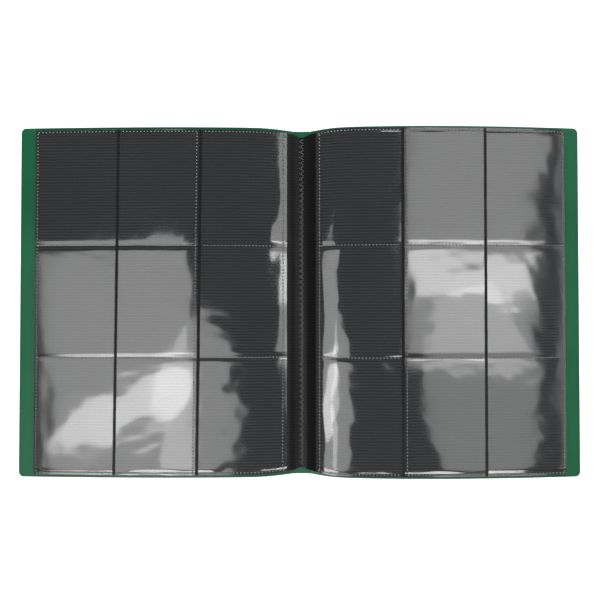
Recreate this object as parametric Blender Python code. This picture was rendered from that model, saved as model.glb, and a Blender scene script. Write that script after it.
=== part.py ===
"""Nine-pocket card album, lying open at a middle spread.

Metres. +X runs to the reader's right, +Y up the page and +Z up from the table. The origin is on the
table, under the middle of the spine.

A one-piece plastic cover folds along two creases beside the spine. Seven leaves are welded to the
spine in one bar: three lie open to the left and four to the right. A leaf is a black sheet with three
clear film strips on each face, and each strip is one column of three pockets. Between the bar and a
leaf, the black sheet is a free margin, which bends when the album closes.
"""

import math

import bmesh
import bpy
from mathutils import Vector

MM = 0.001

# Pockets and leaves
ROWS = 3
POCKET_PITCH = 95.0 * MM
EDGE_WELD = 1.75 * MM
LEAF_HEIGHT = ROWS * POCKET_PITCH + 2 * EDGE_WELD
LEAF_INNER = 10.8 * MM
LEAF_OUTER = 224.4 * MM
COLUMNS = {
    "inner": (12.5 * MM, 85.8 * MM),
    "middle": (88.6 * MM, 155.0 * MM),
    "outer": (157.5 * MM, LEAF_OUTER),
}
SHEET_THICKNESS = 0.25 * MM
FILM_THICKNESS = 0.12 * MM
FILM_GAP = 0.30 * MM
LEAF_CLEARANCE = 0.36 * MM
LEFT_LEAVES = 3
RIGHT_LEAVES = 4

# Cover
COVER_HEIGHT = 296.0 * MM
COVER_HALF_WIDTH = 239.5 * MM
COVER_THICKNESS = 0.9 * MM
CORNER_RADIUS = 4.0 * MM
CORNER_STEPS = 8
SPINE_WIDTH = 15.0 * MM
SPINE_TO_CREASE = 0.60 * MM
PANEL_TO_CREASE = 0.15 * MM

# Binding
BINDING_HALF_WIDTH = 2.2 * MM
BINDING_HEIGHT = 2.15 * MM
BINDING_PITCH = SHEET_THICKNESS + 0.30 * MM
GAP = 0.30 * MM

# Heights and fold axes that follow from the dimensions above
FILM_OFFSET = SHEET_THICKNESS / 2 + FILM_GAP + FILM_THICKNESS / 2
LEAF_THICKNESS = 2 * FILM_OFFSET + FILM_THICKNESS
LEAF_PITCH = LEAF_THICKNESS + LEAF_CLEARANCE
FIRST_LEAF_Z = COVER_THICKNESS + GAP + LEAF_THICKNESS / 2
CREASE_X = SPINE_WIDTH / 2
CREASE_Z = COVER_THICKNESS / 2
TURN_X = LEAF_INNER - GAP / 2
# On the 45 degree line through the left crease, so that the closed leaves lie as far from the front
# cover as the open ones do.
LEFT_FOLD_RISE = 2.55 * MM
LEFT_FOLD_X = -CREASE_X + LEFT_FOLD_RISE
LEFT_FOLD_Z = CREASE_Z + LEFT_FOLD_RISE

COVER_GREEN = (0.010, 0.130, 0.062)
SHEET_BLACK = (0.012, 0.012, 0.013)
FILM_CLEAR = (0.80, 0.82, 0.83)


def clear_scene():
    for thing in list(bpy.data.objects):
        bpy.data.objects.remove(thing, do_unlink=True)


def plastic(name, colour, roughness, alpha=1.0):
    """A plastic finish: a Principled surface with no metal in it."""
    material = bpy.data.materials.new(name)
    material.use_nodes = True
    shader = material.node_tree.nodes["Principled BSDF"]
    shader.inputs["Base Color"].default_value = (*colour, 1.0)
    shader.inputs["Roughness"].default_value = roughness
    shader.inputs["Metallic"].default_value = 0.0
    shader.inputs["Alpha"].default_value = alpha
    return material


def fold_axis(name, x, z, parent=None):
    """An empty on a fold's axis, which runs along Y at this x and z."""
    axis = bpy.data.objects.new(name, None)
    axis.empty_display_size = 0.02
    bpy.context.collection.objects.link(axis)
    axis.parent = parent
    base = world_place(parent) if parent else Vector()
    axis.location = Vector((x, 0.0, z)) - base
    return axis


def world_place(thing):
    """Where an object stands in the world, from the places up its chain of parents."""
    place = Vector()
    while thing:
        place += thing.location
        thing = thing.parent
    return place


def prism(name, outline, direction, material, parent=None):
    """A closed solid: a flat outline, in world places, pushed along a direction."""
    base = world_place(parent) if parent else Vector()
    work = bmesh.new()
    corners = [work.verts.new(Vector(point) - base) for point in outline]
    first = work.faces.new(corners)
    pushed = bmesh.ops.extrude_face_region(work, geom=[first])["geom"]
    far = [item for item in pushed if isinstance(item, bmesh.types.BMVert)]
    bmesh.ops.translate(work, verts=far, vec=Vector(direction))
    bmesh.ops.recalc_face_normals(work, faces=work.faces)
    mesh = bpy.data.meshes.new(name)
    work.to_mesh(mesh)
    work.free()
    mesh.materials.append(material)
    piece = bpy.data.objects.new(name, mesh)
    bpy.context.collection.objects.link(piece)
    piece.parent = parent
    return piece


def plate(name, x_near, x_far, z_middle, thickness, height, material, parent=None):
    """A flat rectangular sheet, between two places across the album."""
    z_low = z_middle - thickness / 2
    half = height / 2
    outline = [
        (x_near, -half, z_low),
        (x_far, -half, z_low),
        (x_far, half, z_low),
        (x_near, half, z_low),
    ]
    return prism(name, outline, (0, 0, thickness), material, parent)


def cover_outline(side):
    """A cover panel seen from above: square at its crease, round at its two outer corners."""
    near = side * (CREASE_X + PANEL_TO_CREASE)
    far = COVER_HALF_WIDTH - CORNER_RADIUS
    half = COVER_HEIGHT / 2
    points = [(near, -half, 0.0)]
    for end, start in ((-1, -90), (1, 0)):
        for step in range(CORNER_STEPS + 1):
            angle = math.radians(start + 90 * step / CORNER_STEPS)
            x = side * (far + CORNER_RADIUS * math.cos(angle))
            y = end * (half - CORNER_RADIUS) + CORNER_RADIUS * math.sin(angle)
            points.append((x, y, 0.0))
    points.append((near, half, 0.0))
    return points


def make_cover(green, front_axis, back_axis):
    """Two cover panels and the spine panel between the creases."""
    up = (0, 0, COVER_THICKNESS)
    prism("front_cover", cover_outline(-1), up, green, front_axis)
    prism("back_cover", cover_outline(1), up, green, back_axis)
    half = CREASE_X - SPINE_TO_CREASE
    plate("spine_panel", -half, half, CREASE_Z, COVER_THICKNESS, COVER_HEIGHT, green)


def make_binding(black):
    """The bar in which the black sheets' inner edges are welded together, on the spine panel."""
    half = BINDING_HALF_WIDTH
    middle = COVER_THICKNESS + GAP + BINDING_HEIGHT / 2
    plate("binding_weld_bar", -half, half, middle, BINDING_HEIGHT, LEAF_HEIGHT, black)


def leaf_z(place):
    """The middle height of the leaf at this place in its stack, counted from the cover."""
    return FIRST_LEAF_Z + place * LEAF_PITCH


def make_margin(name, side, place, black):
    """The free margin of a black sheet, rising from the weld bar to its leaf."""
    x_bar = side * (BINDING_HALF_WIDTH + GAP)
    x_leaf = side * (LEAF_INNER - GAP)
    z_bar = COVER_THICKNESS + GAP + SHEET_THICKNESS / 2 + place * BINDING_PITCH
    z_leaf = leaf_z(place)
    half = SHEET_THICKNESS / 2
    start = -LEAF_HEIGHT / 2
    outline = [
        (x_bar, start, z_bar - half),
        (x_leaf, start, z_leaf - half),
        (x_leaf, start, z_leaf + half),
        (x_bar, start, z_bar + half),
    ]
    prism(name, outline, (0, LEAF_HEIGHT, 0), black)


def make_leaf(name, side, place, black, clear, axis):
    """A black sheet with three film strips over it and three under it."""
    z = leaf_z(place)
    plate(
        f"{name}_sheet", side * LEAF_INNER, side * LEAF_OUTER, z, SHEET_THICKNESS, LEAF_HEIGHT, black, axis
    )
    for face, offset in (("upper", FILM_OFFSET), ("lower", -FILM_OFFSET)):
        for column, (near, far) in COLUMNS.items():
            plate(
                f"{name}_{face}_{column}_film",
                side * near,
                side * far,
                z + offset,
                FILM_THICKNESS,
                LEAF_HEIGHT,
                clear,
                axis,
            )


def build():
    clear_scene()
    green = plastic("cover_green", COVER_GREEN, 0.42)
    black = plastic("sheet_black", SHEET_BLACK, 0.55)
    clear = plastic("film_clear", FILM_CLEAR, 0.08, alpha=0.35)

    front_axis = fold_axis("front_cover_fold_axis", -CREASE_X, CREASE_Z)
    back_axis = fold_axis("back_cover_fold_axis", CREASE_X, CREASE_Z)
    make_cover(green, front_axis, back_axis)
    make_binding(black)

    # Leaf 1 is the lowest of each stack. The left leaves fold up with the front cover, and the right
    # ones stand on the back cover. Each right leaf also turns on the one below it, so that it carries
    # the leaves that lie on it.
    for place in range(LEFT_LEAVES):
        name = f"left_leaf_{place + 1}"
        axis = fold_axis(f"{name}_fold_axis", LEFT_FOLD_X, LEFT_FOLD_Z)
        make_leaf(name, -1, place, black, clear, axis)
        make_margin(f"{name}_margin", -1, place, black)
    below = back_axis
    for place in range(RIGHT_LEAVES):
        name = f"right_leaf_{place + 1}"
        below = fold_axis(f"{name}_turn_axis", TURN_X, leaf_z(place), below)
        make_leaf(name, 1, place, black, clear, below)
        make_margin(f"{name}_margin", 1, place, black)


build()
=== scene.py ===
import math

import bpy
import numpy as np
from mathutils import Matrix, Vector


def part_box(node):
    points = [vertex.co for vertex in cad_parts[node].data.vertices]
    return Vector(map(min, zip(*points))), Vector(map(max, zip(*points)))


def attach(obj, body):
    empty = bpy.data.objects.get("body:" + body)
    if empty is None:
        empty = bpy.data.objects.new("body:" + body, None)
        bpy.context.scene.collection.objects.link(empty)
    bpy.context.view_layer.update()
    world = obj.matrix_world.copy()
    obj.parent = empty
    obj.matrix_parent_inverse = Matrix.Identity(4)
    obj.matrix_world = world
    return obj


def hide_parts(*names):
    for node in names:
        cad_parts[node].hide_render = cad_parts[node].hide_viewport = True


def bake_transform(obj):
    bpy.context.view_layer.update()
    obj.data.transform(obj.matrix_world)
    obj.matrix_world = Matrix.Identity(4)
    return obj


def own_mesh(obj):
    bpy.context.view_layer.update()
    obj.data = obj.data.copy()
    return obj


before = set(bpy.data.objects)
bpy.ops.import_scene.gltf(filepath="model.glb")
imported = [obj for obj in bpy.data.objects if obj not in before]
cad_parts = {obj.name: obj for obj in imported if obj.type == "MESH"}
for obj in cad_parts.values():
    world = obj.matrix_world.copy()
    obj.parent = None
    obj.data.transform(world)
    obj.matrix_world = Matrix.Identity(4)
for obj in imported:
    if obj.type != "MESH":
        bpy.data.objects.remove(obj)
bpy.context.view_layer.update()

MM = 0.001

# What the frame says about the album. +X runs to the reader's right, +Y up the page and +Z up.
LEFT_LEAVES = [f"left_leaf_{n}" for n in (1, 2, 3)]
RIGHT_LEAVES = [f"right_leaf_{n}" for n in (1, 2, 3, 4)]
COVERS = ((-1, "front_cover"), (1, "back_cover"))
COLUMNS = ("inner", "middle", "outer")
COVER_LOW, COVER_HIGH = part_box("back_cover")
SHEET_LOW, SHEET_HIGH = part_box("right_leaf_1_sheet")
SPINE_LOW, SPINE_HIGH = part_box("spine_panel")
LEAF_INNER, LEAF_OUTER = SHEET_LOW.x, SHEET_HIGH.x
PAGE_TOP = SHEET_HIGH.y
SHEET_HALF = (SHEET_HIGH.z - SHEET_LOW.z) / 2
CREASE_X = (SPINE_HIGH.x + COVER_LOW.x) / 2
CREASE_Z = (COVER_LOW.z + COVER_HIGH.z) / 2

# Cover
CORNER_RADIUS = 4.0 * MM
CORNER_STEPS = 8
COVER_RIM = 0.25 * MM
SPINE_RIM = 0.15 * MM
CREASE_OVERLAP = 0.6 * MM
CREASE_HALF = 0.16 * MM

# Black sheets
RIB_PITCH = 2.45 * MM
RIB_HEIGHT = 0.08 * MM
SHEET_STEP = 7 * MM

# Films
FILM_THICKNESS = 0.07 * MM
FILM_REST = 0.10 * MM
PAGE_LOFT = 0.30 * MM
HIDDEN_LOFT = 0.20 * MM
ROW_EASE = 1.7 * MM
SEAM_EASE = 9.0 * MM
RIPPLE = {"inner": 0.013, "middle": 0.006, "outer": 0.005}

# Welds: the rows across a page, and how far in from its strip's edge each upright one lies
WELD_ROWS = [y * MM for y in (-142.6, -46.8, 46.8, 142.6)]
SEAM_INSET = {"inner": 3.4 * MM, "middle": 1.8 * MM, "outer": 1.9 * MM}
SEAM_HALF_WIDTH = 0.28 * MM
SEAM_THICKNESS = 0.09 * MM
SEAM_LIFT = 0.03 * MM
DOT_PITCH = 2.85 * MM
DOT_RADIUS = 0.95 * MM
DOT_HEIGHT = 0.30 * MM
DOT_TIP = 0.36
DOT_LIFT = 0.05 * MM
LINE_END = 0.8 * MM
ROW_END = 1.2 * MM

# Binding bar and margins
BAR_HALF_WIDTH = 2.6 * MM
BAR_LENGTH = 0.988
BAR_BASE = 1.05 * MM
BAR_TOP = 0.55 * MM
BAR_CROWN = 0.10 * MM
BAR_STEP = 0.26 * MM
ZIGZAG_CENTRE = 0.4 * MM
ZIGZAG_HALF_WIDTH = 1.9 * MM
ZIGZAG_PITCH = 4.7 * MM
ZIGZAG_DOTS = 6
ZIGZAG_DOT_RADIUS = 0.42 * MM
ZIGZAG_DOT_HEIGHT = 0.28 * MM
ZIGZAG_DOT_TIP = 0.50
MARGIN_START = 1.9 * MM
MARGIN_OVERLAP = 0.1 * MM
MARGIN_HALF = 0.11 * MM
MARGIN_LEAVES_BAR = 0.285
MARGIN_MEETS_LEAF = 0.38
MARGIN_NARROWING = 0.012

# An arched stack spans a little less width than it does flat
SHORTENED = {-1: 0.0, 1: 3.6 * MM}
SHORTENED_OVER = 16 * MM

# The creases draw the album's two ends in at the gutter
GUTTER_DIP = 0.018
GUTTER_WIDTH = 22 * MM

# The left page's strips lean towards the spine at the top
LEAN = 3.0 * MM


class Arch:
    """How far a sheet stands proud of the flat model: a quick rise at the gutter and a long fall."""

    CREST = 80 * MM

    def __init__(self, start, rise, over, drop, end):
        self.start, self.rise, self.over, self.drop, self.end = start, rise, over, drop, end

    def __call__(self, x):
        x = np.abs(x)
        up = self.rise * (1 - np.exp(-np.maximum(x - self.start, 0) / self.over))
        return up - self.drop * (np.maximum(x - self.CREST, 0) / (self.end - self.CREST)) ** 2

    def slope(self):
        """How steeply it leaves its start."""
        return self.rise / self.over


# For each side of the spine
LEAF_ARCH = {
    -1: Arch(LEAF_INNER, 5.8 * MM, 29 * MM, 4.4 * MM, LEAF_OUTER),
    1: Arch(LEAF_INNER, 9.4 * MM, 19 * MM, 7.6 * MM, LEAF_OUTER),
}
COVER_ARCH = {
    -1: Arch(CREASE_X, 5.0 * MM, 42 * MM, 4.9 * MM, COVER_HIGH.x),
    1: Arch(CREASE_X, 9.3 * MM, 45 * MM, 9.1 * MM, COVER_HIGH.x),
}


def bent(x, y):
    """Where a place on the flat model lies across the arched album."""
    side = np.where(x < 0, -1, 1)
    past_hinge = np.maximum(np.abs(x) - LEAF_INNER, 0)
    shortened = np.where(x < 0, SHORTENED[-1], SHORTENED[1])
    across = x - side * shortened * (1 - np.exp(-past_hinge / SHORTENED_OVER))
    lean = np.where(x < 0, LEAN, 0) * (np.clip(y / PAGE_TOP, -1, 1) + 1) / 2
    across = across + lean * np.sin(math.pi * np.clip(past_hinge / (LEAF_OUTER - LEAF_INNER), 0, 1))
    return across, y * (1 - GUTTER_DIP * np.exp(-((x / GUTTER_WIDTH) ** 2)))


def side_of(leaf):
    return -1 if leaf.startswith("left") else 1


def word_for(face):
    return "upper" if face > 0 else "lower"


def middle_z(leaf):
    """The middle height of a leaf's sheet in the flat model."""
    low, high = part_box(f"{leaf}_sheet")
    return (low.z + high.z) / 2


def page_z(leaf, x):
    """The middle height of a leaf's arched sheet."""
    return middle_z(leaf) + LEAF_ARCH[side_of(leaf)](x)


def strip_edges(leaf, column):
    """A film strip's near and far edge, as distances from the spine's middle."""
    low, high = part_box(f"{leaf}_upper_{column}_film")
    return sorted((abs(low.x), abs(high.x)))


def seam_x(leaf, column):
    """Where a film strip's upright weld lies, as a distance from the spine's middle."""
    near, far = strip_edges(leaf, column)
    return far - SEAM_INSET[column] if column == "outer" else near + SEAM_INSET[column]


# Materials


class Nodes:
    """A material under construction, with short calls for the nodes it needs."""

    def __init__(self, name):
        self.material = bpy.data.materials.new(name)
        self.material.use_nodes = True
        self.tree = self.material.node_tree
        self.shader = self.tree.nodes["Principled BSDF"]
        self.place = self.add("ShaderNodeTexCoord").outputs["Object"]

    def add(self, kind, **settings):
        node = self.tree.nodes.new(kind)
        for name, value in settings.items():
            setattr(node, name, value)
        return node

    def link(self, source, target):
        self.tree.links.new(source, target)

    def noise(self, scale, detail=3.0, stretch=None):
        place = self.place
        if stretch:
            mapping = self.add("ShaderNodeMapping")
            mapping.inputs["Scale"].default_value = stretch
            self.link(place, mapping.inputs["Vector"])
            place = mapping.outputs["Vector"]
        node = self.add("ShaderNodeTexNoise")
        node.inputs["Scale"].default_value = scale
        node.inputs["Detail"].default_value = detail
        node.inputs["Roughness"].default_value = 0.55
        self.link(place, node.inputs["Vector"])
        return node.outputs["Fac"]

    def ribs(self, pitch):
        """Ribs that run across the album. Their tops are where sin(2 pi y / pitch) is 1."""
        node = self.add("ShaderNodeTexWave", wave_type="BANDS", bands_direction="Y", wave_profile="SIN")
        node.inputs["Scale"].default_value = 2 * math.pi / (20 * pitch)
        node.inputs["Phase Offset"].default_value = math.pi / 2
        self.link(self.place, node.inputs["Vector"])
        return node.outputs["Fac"]

    def ramp(self, source, low, high, low_colour, high_colour):
        node = self.add("ShaderNodeValToRGB")
        first, last = node.color_ramp.elements
        first.position, last.position = low, high
        first.color, last.color = (*low_colour, 1), (*high_colour, 1)
        self.link(source, node.inputs["Fac"])
        return node.outputs["Color"]

    def spread(self, source, low, high):
        node = self.add("ShaderNodeMapRange")
        node.inputs["To Min"].default_value = low
        node.inputs["To Max"].default_value = high
        self.link(source, node.inputs["Value"])
        return node.outputs["Result"]

    def bump(self, source, distance, strength, under=None):
        node = self.add("ShaderNodeBump")
        node.inputs["Distance"].default_value = distance
        node.inputs["Strength"].default_value = strength
        self.link(source, node.inputs["Height"])
        if under:
            self.link(under, node.inputs["Normal"])
        return node.outputs["Normal"]

    def set(self, **values):
        for name, value in values.items():
            self.shader.inputs[name.replace("_", " ")].default_value = value

    def feed(self, name, source):
        self.link(source, self.shader.inputs[name])


def cover_plastic():
    """Green polypropylene with a fine satin grain."""
    n = Nodes("cover_green")
    n.feed("Base Color", n.ramp(n.noise(9.0), 0.30, 0.72, (0.0035, 0.082, 0.033), (0.0060, 0.112, 0.046)))
    n.feed("Roughness", n.spread(n.noise(60.0), 0.20, 0.30))
    grain = n.bump(n.noise(2600.0, detail=2.0), 0.00004, 0.5)
    n.feed("Normal", n.bump(n.noise(28.0, detail=1.0), 0.0006, 0.25, under=grain))
    n.set(IOR=1.49)
    return n.material


def sheet_plastic(name, crest_wear_and_light):
    """Black polypropylene, matt, with fine hatching across its ribs. The second argument is how pale the
    rib tops are: partly wear, partly painted light, with painted shade in the valleys between the ribs.
    """
    n = Nodes(name)
    # Rib tops paler than the valleys: partly wear, partly painted light and painted shade.
    tops = (crest_wear_and_light, crest_wear_and_light, 1.05 * crest_wear_and_light)
    n.feed("Base Color", n.ramp(n.ribs(RIB_PITCH), 0.15, 0.95, (0.003, 0.003, 0.003), tops))
    n.feed("Roughness", n.spread(n.noise(90.0), 0.27, 0.38))
    hatch = n.noise(900.0, detail=2.0, stretch=(0.35, 1.0, 1.0))
    n.feed("Normal", n.bump(hatch, 0.00008, 0.6))
    n.set(IOR=1.49, Specular_IOR_Level=0.2)
    return n.material


def film_plastic():
    """Clear glossy film: it lets the black sheet show, and its two faces mirror the lamps."""
    n = Nodes("film_clear")
    n.feed("Base Color", n.ramp(n.noise(30.0), 0.3, 0.75, (0.010, 0.011, 0.012), (0.018, 0.019, 0.020)))
    n.feed("Roughness", n.spread(n.noise(45.0, stretch=(1.0, 0.4, 1.0)), 0.05, 0.11))
    n.feed("Normal", n.bump(n.noise(120.0, detail=1.0), 0.00003, 0.2))
    n.set(IOR=2.4, Specular_IOR_Level=1.0, Alpha=0.32)
    return n.material


def seam_black_and_shade_plastic():
    """Black and nearly matt, where film and sheet are fused: the own black of the dots' slopes, and on the
    weld rows' strips painted shade for the dark line where the film curves down into the weld.
    """
    n = Nodes("seam_black_and_painted_shade")
    n.feed("Base Color", n.ramp(n.noise(300.0), 0.3, 0.7, (0.006, 0.006, 0.006), (0.014, 0.014, 0.014)))
    n.feed("Roughness", n.spread(n.noise(500.0), 0.6, 0.8))
    n.set(IOR=1.3)
    return n.material


def dot_glint_plastic():
    """The pale tops of a weld's raised dots: a painted glint, for the lamps that the small domes mirror."""
    n = Nodes("weld_dot_painted_glint")
    n.feed("Base Color", n.ramp(n.noise(180.0), 0.25, 0.75, (0.50, 0.50, 0.51), (0.75, 0.75, 0.76)))
    n.feed("Roughness", n.spread(n.noise(400.0), 0.16, 0.30))
    n.set(IOR=1.7)
    return n.material


# Meshes


def shown(name, vertices, faces, material, sharp=40):
    """A smooth-shaded mesh object in the scene."""
    mesh = bpy.data.meshes.new(name)
    mesh.from_pydata(vertices, [], faces)
    mesh.validate()
    mesh.shade_smooth()
    mesh.set_sharp_from_angle(angle=math.radians(sharp))
    mesh.materials.append(material)
    piece = bpy.data.objects.new(name, mesh)
    bpy.context.scene.collection.objects.link(piece)
    return piece


def slab(name, x, y, top, bottom, material, rim=0.0):
    """A closed sheet between two height fields on one grid, with a rim that bulges outward.

    x, y, top and bottom are arrays of the same shape. The first index runs to +X, the second to +Y.
    The faces on top come first, column by column, then those below and then the rim.
    """
    columns, rows = x.shape
    count = columns * rows
    x, y = bent(x, y)
    upper = np.stack([x, y, top], -1).reshape(-1, 3)
    lower = np.stack([x, y, bottom], -1).reshape(-1, 3)
    number = np.arange(count).reshape(columns, rows)
    a, b = number[:-1, :-1].ravel(), number[1:, :-1].ravel()
    c, d = number[1:, 1:].ravel(), number[:-1, 1:].ravel()
    faces = [*zip(a, b, c, d)] + [*zip(d + count, c + count, b + count, a + count)]
    loop = np.concatenate([number[:-1, 0], number[-1, :-1], number[:0:-1, -1], number[0, :0:-1]])
    along = np.roll(upper[loop], -1, 0) - np.roll(upper[loop], 1, 0)
    outward = np.stack([along[:, 1], -along[:, 0], np.zeros(len(loop))], -1)
    outward /= np.linalg.norm(outward, axis=1, keepdims=True)
    middle = (upper[loop] + lower[loop]) / 2 + outward * rim
    ring = np.arange(len(loop)) + 2 * count
    after = np.roll(np.arange(len(loop)), -1)
    faces += [*zip(loop, ring, ring[after], loop[after])]
    faces += [*zip(ring, loop + count, loop[after] + count, ring[after])]
    vertices = np.concatenate([upper, lower, middle])
    return shown(name, vertices.tolist(), [[int(i) for i in face] for face in faces], material)


def grid(x_low, x_high, y_low, y_high, step_x, step_y):
    """Evenly spaced places over a rectangle."""
    xs = np.linspace(x_low, x_high, max(2, round((x_high - x_low) / step_x) + 1))
    ys = np.linspace(y_low, y_high, max(2, round((y_high - y_low) / step_y) + 1))
    return np.meshgrid(xs, ys, indexing="ij")


def waves(x, y, seed, count, shortest, longest, slope):
    """Gentle random ripples, each about as steep as slope."""
    rng = np.random.default_rng(seed)
    height = np.zeros_like(x)
    for _ in range(count):
        length = rng.uniform(shortest, longest)
        angle, phase = rng.uniform(0, 2 * math.pi, 2)
        turn = 2 * math.pi / length
        height += slope / turn * np.sin(turn * (x * math.cos(angle) + y * math.sin(angle)) + phase)
    return height


def dome_row(name, places, face, radius, height, sides, rim, glint_tip, tip_size):
    """Low domes at many places, in one mesh. face is 1 on an upper surface and -1 on a lower one.

    rim is the finish of a dome's slopes, and the material after it that of the dome's top, which is pale: a
    painted glint. The top's size is a share of the radius.
    """
    angles = np.arange(sides) * 2 * math.pi / sides
    circle = np.stack([np.cos(angles), np.sin(angles)], -1)
    foot, shoulder, cap = (1.0, -0.25), (0.88, 0.45), (tip_size, 0.90)
    pattern = [
        (r * radius * c, r * radius * s, face * h * height)
        for r, h in (foot, shoulder, cap)
        for c, s in circle
    ]
    pattern += [(0.0, 0.0, face * height), (0.0, 0.0, -0.25 * face * height)]
    top, base = 3 * sides, 3 * sides + 1
    faces = []
    for n in range(sides):
        m = (n + 1) % sides
        for level in (0, sides):
            faces.append((level + n, level + m, level + sides + m, level + sides + n))
        faces.append((m, n, base))
        faces.append((2 * sides + n, 2 * sides + m, top))
    if face < 0:
        faces = [corners[::-1] for corners in faces]
    pattern = np.array(pattern)
    places = np.array(places)
    places[:, 0], places[:, 1] = bent(places[:, 0], places[:, 1])
    vertices = (places[:, None, :] + pattern[None, :, :]).reshape(-1, 3)
    size = len(pattern)
    every = [[int(i + n * size) for i in corners] for n in range(len(places)) for corners in faces]
    piece = shown(name, vertices.tolist(), every, rim, sharp=80)
    piece.data.materials.append(glint_tip)
    # Faces on each dome's top take the pale painted glint.
    on_glint_tip = [int(i % len(faces) % 4 == 3) for i in range(len(every))]
    piece.data.polygons.foreach_set("material_index", on_glint_tip)
    return piece


def join(pieces, name):
    """Several meshes as one object."""
    with bpy.context.temp_override(active_object=pieces[0], selected_editable_objects=pieces):
        bpy.ops.object.join()
    pieces[0].name = name
    pieces[0].data.name = name


def move_with_leaf(piece, leaf):
    """The piece rides on its leaf."""
    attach(piece, leaf)
    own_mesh(piece)


# Cover


def make_cover_panel(body, side, material):
    """One arched cover panel with two rounded outer corners."""
    x_crease = abs(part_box(body)[0 if side > 0 else 1].x)
    far = COVER_HIGH.x - COVER_RIM
    straight = np.linspace(x_crease, far - CORNER_RADIUS, 90)
    turned = np.linspace(0, math.pi / 2, CORNER_STEPS + 1)[1:]
    rounded = far - CORNER_RADIUS * (1 - np.sin(turned))
    across = np.concatenate([straight, rounded])
    corner = np.clip(across - (far - CORNER_RADIUS), 0, CORNER_RADIUS)
    cut = CORNER_RADIUS - np.sqrt(np.maximum(CORNER_RADIUS**2 - corner**2, 0))
    half = COVER_HIGH.y - COVER_RIM - np.minimum(cut, 0.999 * CORNER_RADIUS)
    if side < 0:
        across, half = -across[::-1], half[::-1]
    share = np.linspace(-1, 1, 61)
    x = np.repeat(across[:, None], len(share), 1)
    y = half[:, None] * share[None, :]
    rise = COVER_ARCH[side](x)
    piece = slab(f"{body}_panel", x, y, COVER_HIGH.z + rise, COVER_LOW.z + rise, material, COVER_RIM)
    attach(piece, body)
    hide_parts(body)
    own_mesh(piece)


def make_spine(material):
    """The spine panel."""
    x_end, y_end = SPINE_HIGH.x - SPINE_RIM, SPINE_HIGH.y - SPINE_RIM
    x, y = grid(-x_end, x_end, -y_end, y_end, MM, 5 * MM)
    level = np.zeros_like(x)
    panel = slab("spine_skin", x, y, level + SPINE_HIGH.z, level + SPINE_LOW.z, material, SPINE_RIM)
    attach(panel, "spine")
    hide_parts("spine_panel")


def make_crease(body, side, material):
    """The thinned web that folds between the spine panel and a cover panel."""
    near, far = SPINE_HIGH.x - CREASE_OVERLAP, COVER_LOW.x + CREASE_OVERLAP
    low, high = sorted((side * near, side * far))
    y_end = SPINE_HIGH.y - MM / 2
    x, y = grid(low, high, -y_end, y_end, 0.15 * MM, 6 * MM)
    level = np.full_like(x, CREASE_Z)
    web = slab(f"{body}_crease", x, y, level + CREASE_HALF, level - CREASE_HALF, material)
    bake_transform(web)


# Binding and margins


def margin_z(leaf, x):
    """Middle height of a margin: a smooth curve from the weld bar up to the leaf's own slope."""
    place = int(leaf[-1]) - 1
    low = BAR_BASE + place * BAR_STEP
    rise = middle_z(leaf) - low
    span = LEAF_INNER - MARGIN_START
    t = np.clip((np.abs(x) - MARGIN_START) / span, 0, 1)
    first_slope = MARGIN_LEAVES_BAR * rise
    last_slope = MARGIN_MEETS_LEAF * rise + LEAF_ARCH[side_of(leaf)].slope() * span
    curve = rise * (3 * t**2 - 2 * t**3)
    return low + curve + first_slope * t * (1 - t) ** 2 + last_slope * t**2 * (t - 1)


def make_margins(material):
    """The black sheets' free margins, which bend between the weld bar and the leaves."""
    for number, leaf in enumerate(LEFT_LEAVES + RIGHT_LEAVES):
        side = side_of(leaf)
        low, high = sorted((side * MARGIN_START, side * (LEAF_INNER + MARGIN_OVERLAP)))
        x, y = grid(low, high, -PAGE_TOP, PAGE_TOP, 0.45 * MM, RIB_PITCH / 2)
        towards_bar = (np.minimum(LEAF_INNER / np.maximum(np.abs(x), MM), 5) - 1) / 4
        y = y * (1 - MARGIN_NARROWING * towards_bar)
        z = margin_z(leaf, x) + waves(x, y, number, 4, 9 * MM, 30 * MM, 0.008)
        # The material given here is the darker copy of the sheet: painted shade of the gutter.
        piece = slab(f"{leaf}_margin_skin", x, y, z + MARGIN_HALF, z - MARGIN_HALF, material)
        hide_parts(f"{leaf}_margin")
        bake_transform(piece)


def make_bar(material, dots):
    """The fused bar of sheets on the spine, with its zig-zag of weld dots."""
    end = BAR_LENGTH * PAGE_TOP
    x, y = grid(-BAR_HALF_WIDTH, BAR_HALF_WIDTH, -end, end, 0.4 * MM, 2 * MM)
    top = BAR_BASE + BAR_TOP - BAR_CROWN * np.cos(x / BAR_HALF_WIDTH * math.pi)
    bottom = np.full_like(x, SPINE_HIGH.z + 0.05 * MM)
    # The material given here is the darker copy of the sheet: painted shade of the gutter.
    bar = slab("binding_bar_skin", x, y, top, bottom, material, 0.1 * MM)
    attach(bar, "spine")
    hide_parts("binding_weld_bar")

    count = int(2 * end / ZIGZAG_PITCH) * ZIGZAG_DOTS
    step = np.arange(count)
    swing = np.abs((step / ZIGZAG_DOTS) % 1 * 2 - 1) * 2 - 1
    across = ZIGZAG_CENTRE + swing * ZIGZAG_HALF_WIDTH
    along = (step - (count - 1) / 2) * ZIGZAG_PITCH / ZIGZAG_DOTS
    places = np.column_stack([across, along, np.full(count, BAR_BASE + BAR_TOP - 0.02 * MM)])
    radius, height = ZIGZAG_DOT_RADIUS, ZIGZAG_DOT_HEIGHT
    # The zig-zag dots' pale tops are painted glints.
    welds = dome_row("binding_bar_dots", places, 1, radius, height, 8, material, dots, ZIGZAG_DOT_TIP)
    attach(welds, "spine")


# Leaves


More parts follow.
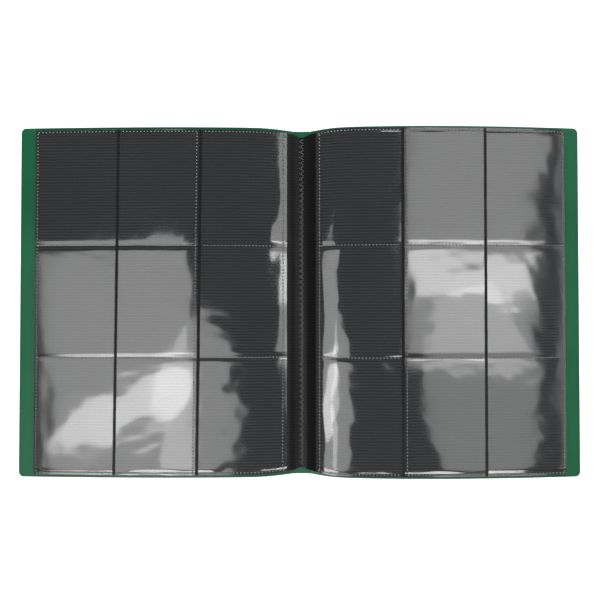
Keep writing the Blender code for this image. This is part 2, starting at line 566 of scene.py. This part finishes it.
def make_sheet(leaf, fine, material, shaded_bare_material):
    """The black sheet of a leaf, ribbed across, with a darker copy of its material on the faces that lie
    uncovered between the film strips: painted shade from the films.
    """
    side = side_of(leaf)
    edges = [edge for column in COLUMNS for edge in strip_edges(leaf, column)]
    stops = [LEAF_INNER, *edges[:-1], LEAF_OUTER]
    runs, bare_in_shade = [], []
    for n, (near, far) in enumerate(zip(stops, stops[1:])):
        steps = max(1, round((far - near) / SHEET_STEP))
        runs.append(np.linspace(near, far, steps, endpoint=False))
        # Faces between the strips take the darker copy: painted shade.
        bare_in_shade += [n % 2 == 0] * steps
    xs = np.append(np.concatenate(runs), LEAF_OUTER)
    if side < 0:
        xs, bare_in_shade = -xs[::-1], bare_in_shade[::-1]
    rib_steps = 6 if fine else 1
    ys = np.linspace(-PAGE_TOP, PAGE_TOP, round(2 * PAGE_TOP / RIB_PITCH) * rib_steps + 1)
    x, y = np.meshgrid(xs, ys, indexing="ij")
    z = page_z(leaf, x)
    if fine:
        z = z + RIB_HEIGHT * np.sin(2 * math.pi * y / RIB_PITCH)
    piece = slab(f"{leaf}_sheet_skin", x, y, z + SHEET_HALF, z - SHEET_HALF, material)
    piece.data.materials.append(shaded_bare_material)
    both_faces = np.tile(np.repeat(bare_in_shade, len(ys) - 1), 2)
    marks = np.zeros(len(piece.data.polygons), dtype=int)
    marks[: len(both_faces)] = both_faces
    piece.data.polygons.foreach_set("material_index", marks)
    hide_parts(f"{leaf}_sheet")
    move_with_leaf(piece, leaf)


def free_share(y):
    """How free a film is to stand up: 0 at a weld row and 1 well away from it."""
    to_row = np.min([np.abs(y - row) for row in WELD_ROWS], axis=0)
    return 1 - np.exp(-((to_row / ROW_EASE) ** 2))


def film_lift(leaf, column, x, y, loft, seed):
    """How far a film stands off its sheet: down at the weld rows, and rippled inside each pocket."""
    free = free_share(y)
    lift = loft * free
    if seed is not None:
        to_seam = np.abs(np.abs(x) - seam_x(leaf, column))
        loose = free * (1 - np.exp(-((to_seam / SEAM_EASE) ** 2)))
        pocket = np.searchsorted(WELD_ROWS[1:3], y)
        for n in range(3):
            ripple = waves(x, y, seed * 10 + n, 5, 26 * MM, 70 * MM, RIPPLE[column])
            ripple += waves(x, y, seed * 10 + n + 500, 4, 9 * MM, 20 * MM, 0.5 * RIPPLE[column])
            lift = lift + np.where(pocket == n, ripple * loose, 0)
    return FILM_REST + np.maximum(lift, 0)


def make_films(leaf, face, seen, seed, material):
    """The three film strips on one face of a leaf."""
    side = side_of(leaf)
    for place, column in enumerate(COLUMNS):
        near, far = strip_edges(leaf, column)
        low, high = sorted((side * near, side * far))
        step = 1.5 * MM if seen else 6 * MM
        x, y = grid(low, high, -PAGE_TOP, PAGE_TOP, step, step)
        loft = PAGE_LOFT if seen else HIDDEN_LOFT
        lift = film_lift(leaf, column, x, y, loft, seed + place if seen else None)
        near_z = page_z(leaf, x) + face * (SHEET_HALF + lift)
        far_z = near_z + face * FILM_THICKNESS
        top, bottom = (far_z, near_z) if face > 0 else (near_z, far_z)
        piece = slab(f"{leaf}_{word_for(face)}_{column}_pocket", x, y, top, bottom, material)
        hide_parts(f"{leaf}_{word_for(face)}_{column}_film")
        move_with_leaf(piece, leaf)


def weld_spots(leaf, column):
    """Where the dots of one film strip lie: one upright line, and one across it in each weld row."""
    side = side_of(leaf)
    near, far = strip_edges(leaf, column)
    count = int(2 * (PAGE_TOP - LINE_END) / DOT_PITCH)
    up = (np.arange(count) - (count - 1) / 2) * DOT_PITCH
    lines = [np.column_stack([np.full(count, side * seam_x(leaf, column)), up])]
    first, last = near + ROW_END, far - ROW_END
    count = int((last - first) / DOT_PITCH)
    across = side * (first + (np.arange(count) + 0.5) * (last - first) / count)
    lines += [np.column_stack([across, np.full(count, row)]) for row in WELD_ROWS]
    return np.concatenate(lines)


def make_dots(leaf, face, seen, rim, glint_tips):
    """The dotted weld lines of one page."""
    spots = np.concatenate([weld_spots(leaf, column) for column in COLUMNS])
    loft = PAGE_LOFT if seen else HIDDEN_LOFT
    lift = FILM_REST + loft * free_share(spots[:, 1]) + DOT_LIFT
    places = np.column_stack([spots, page_z(leaf, spots[:, 0]) + face * (SHEET_HALF + lift)])
    name = f"{leaf}_{word_for(face)}_weld_dots"
    sides = 8 if seen else 6
    # The dots' pale tops are painted glints.
    welds = dome_row(name, places, face, DOT_RADIUS, DOT_HEIGHT, sides, rim, glint_tips, DOT_TIP)
    move_with_leaf(welds, leaf)


def make_seams(leaf, face, material):
    """The black matt strips under the dots of one page's weld rows, as one piece: painted shade for the
    dark line where the film curves down into the weld.
    """
    side = side_of(leaf)
    name = f"{leaf}_{word_for(face)}_seams"
    strips = []
    for column in COLUMNS:
        low, high = sorted(side * edge for edge in strip_edges(leaf, column))
        for row in WELD_ROWS:
            x, y = grid(low, high, row - SEAM_HALF_WIDTH, row + SEAM_HALF_WIDTH, 4 * MM, SEAM_HALF_WIDTH)
            z = page_z(leaf, x) + face * (SHEET_HALF + FILM_REST + SEAM_LIFT)
            strips.append(slab(name, x, y, z + SEAM_THICKNESS / 2, z - SEAM_THICKNESS / 2, material))
    join(strips, name)
    move_with_leaf(strips[0], leaf)


def make_leaves(black, bare_in_shade, clear, seam, dots):
    """Every leaf. Only the pages that lie open on top have rippled films."""
    tops = {LEFT_LEAVES[-1], RIGHT_LEAVES[-1]}
    ribbed = tops | {RIGHT_LEAVES[-2]}
    for number, leaf in enumerate(LEFT_LEAVES + RIGHT_LEAVES):
        make_sheet(leaf, leaf in ribbed, black, bare_in_shade)
        for face in (1, -1):
            seen = leaf in tops and face > 0
            make_films(leaf, face, seen, 40 + 7 * number, clear)
            make_dots(leaf, face, seen, seam, dots)
            make_seams(leaf, face, seam)


# Studio


def lamp(name, centre, size, power, height=1.2, turn=0.0, shape="RECTANGLE"):
    """A soft lamp that looks straight down. Its power is per square metre."""
    data = bpy.data.lights.new(name, "AREA")
    data.shape = shape
    data.size, data.size_y = size
    area = size[0] * size[1] * (math.pi / 4 if shape == "ELLIPSE" else 1)
    data.energy = power * area
    thing = bpy.data.objects.new(name, data)
    thing.location = (*centre, height)
    thing.rotation_euler = (0, 0, math.radians(turn))
    bpy.context.scene.collection.objects.link(thing)


def make_table():
    """A plain white table with a little light of its own."""
    x, y = grid(-9, 9, -9, 9, 1.0, 1.0)
    level = np.zeros_like(x)
    n = Nodes("table_white")
    n.feed("Base Color", n.ramp(n.noise(3.0), 0.2, 0.8, (0.90, 0.90, 0.90), (0.93, 0.93, 0.93)))
    n.set(Roughness=0.7, Emission_Color=(1, 1, 1, 1), Emission_Strength=0.5)
    slab("table", x, y, level - 0.2 * MM, level - 20 * MM, n.material)


def make_surround():
    world = bpy.data.worlds.new("surround")
    world.use_nodes = True
    background = world.node_tree.nodes["Background"]
    background.inputs["Color"].default_value = (0.93, 0.97, 1.0, 1)
    background.inputs["Strength"].default_value = 0.15
    bpy.context.scene.world = world


def make_lamps():
    """Softboxes over the pages, and two fills for the table.

    Each side's lamps overlap, as its page mirrors them: a box, a rounded one and a narrow bright core.
    The overlapping ones hang at different heights.
    """
    lamp("left_box", (-0.595, -0.22), (0.61, 0.81), 4.0, turn=4)
    lamp("left_round", (-0.25, -0.31), (0.36, 0.58), 3.6, height=1.19, shape="ELLIPSE")
    lamp("left_core", (-0.58, -0.30), (0.62, 0.16), 7.0, height=1.18, turn=20, shape="ELLIPSE")
    lamp("right_box", (0.61, 0.29), (0.62, 0.92), 3.6)
    lamp("right_round", (0.67, -0.25), (0.54, 0.66), 2.8, height=1.19, turn=24, shape="ELLIPSE")
    lamp("right_core", (0.615, 0.09), (0.61, 0.15), 7.0, height=1.18)
    lamp("right_corner", (0.96, 0.58), (0.08, 0.34), 3.6)
    lamp("right_edge", (1.11, 0.07), (0.08, 1.36), 2.0)
    lamp("front_fill", (0.0, -1.20), (1.80, 1.10), 12.0)
    lamp("back_fill", (0.0, 1.60), (3.00, 1.20), 14.0)


def make_camera():
    """Nearly straight over the album, a little towards the reader."""
    distance, elevation, view_angle = 0.50, math.radians(89.0), math.radians(54.15)
    target = Vector((-0.0014, 0.0014, 0.0))
    data = bpy.data.cameras.new("camera")
    data.sensor_width = 36.0
    data.lens = data.sensor_width / 2 / math.tan(view_angle / 2)
    data.clip_start = 0.01
    camera = bpy.data.objects.new("camera", data)
    away = Vector((0.0, -math.cos(elevation), math.sin(elevation)))
    camera.location = target + away * distance
    camera.rotation_euler = (math.pi / 2 - elevation, 0.0, 0.0)
    bpy.context.scene.collection.objects.link(camera)
    bpy.context.scene.camera = camera
    bpy.context.scene.view_settings.view_transform = "Standard"


def build():
    green, clear = cover_plastic(), film_plastic()
    # The second copy has almost no pale rib tops: painted shade, for the gutter's margins and bar and the
    # slits between the films.
    black, bare_in_shade = sheet_plastic("sheet_black", 0.040), sheet_plastic("margin_black_painted_shade", 0.007)
    seam, dots = seam_black_and_shade_plastic(), dot_glint_plastic()
    for side, body in COVERS:
        make_cover_panel(body, side, green)
    make_spine(green)
    for side, body in COVERS:
        make_crease(body, side, green)
    make_margins(bare_in_shade)
    make_bar(bare_in_shade, dots)
    make_leaves(black, bare_in_shade, clear, seam, dots)
    make_table()
    make_surround()
    make_lamps()
    make_camera()


build()
